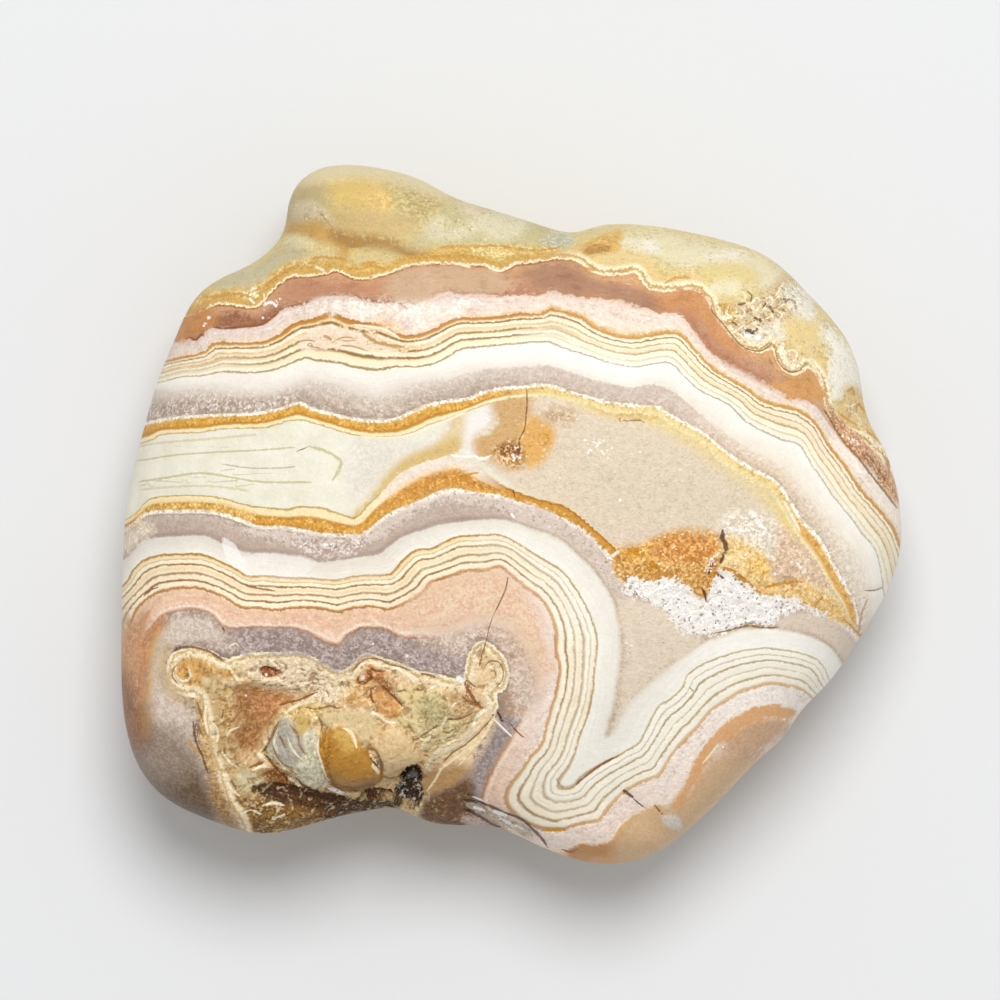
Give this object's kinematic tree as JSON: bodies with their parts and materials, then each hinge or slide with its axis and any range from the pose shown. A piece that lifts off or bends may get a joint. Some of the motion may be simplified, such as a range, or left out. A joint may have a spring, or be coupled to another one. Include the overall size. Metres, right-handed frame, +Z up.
{
  "type": "fairburn agate",
  "caption": "Water-worn fortification agate pebble, lying flat, with cream, orange, pink and mauve bands across its face and a small rough hollow at one corner.",
  "frame": {"origin": "middle of the stone's plan, on the plane that it rests on", "axes": "+Z up, out of the banded face; +X along its length, to the right as the face is seen; +Y across it, towards the knob"},
  "size_m": [0.0578, 0.0518, 0.0227],
  "materials": {
    "agate": "banded chalcedony, satin, water-worn, rougher in its hollow"
  },
  "bodies": {
    "root": {"agate_pebble": "agate"}
  },
  "joints": []
}
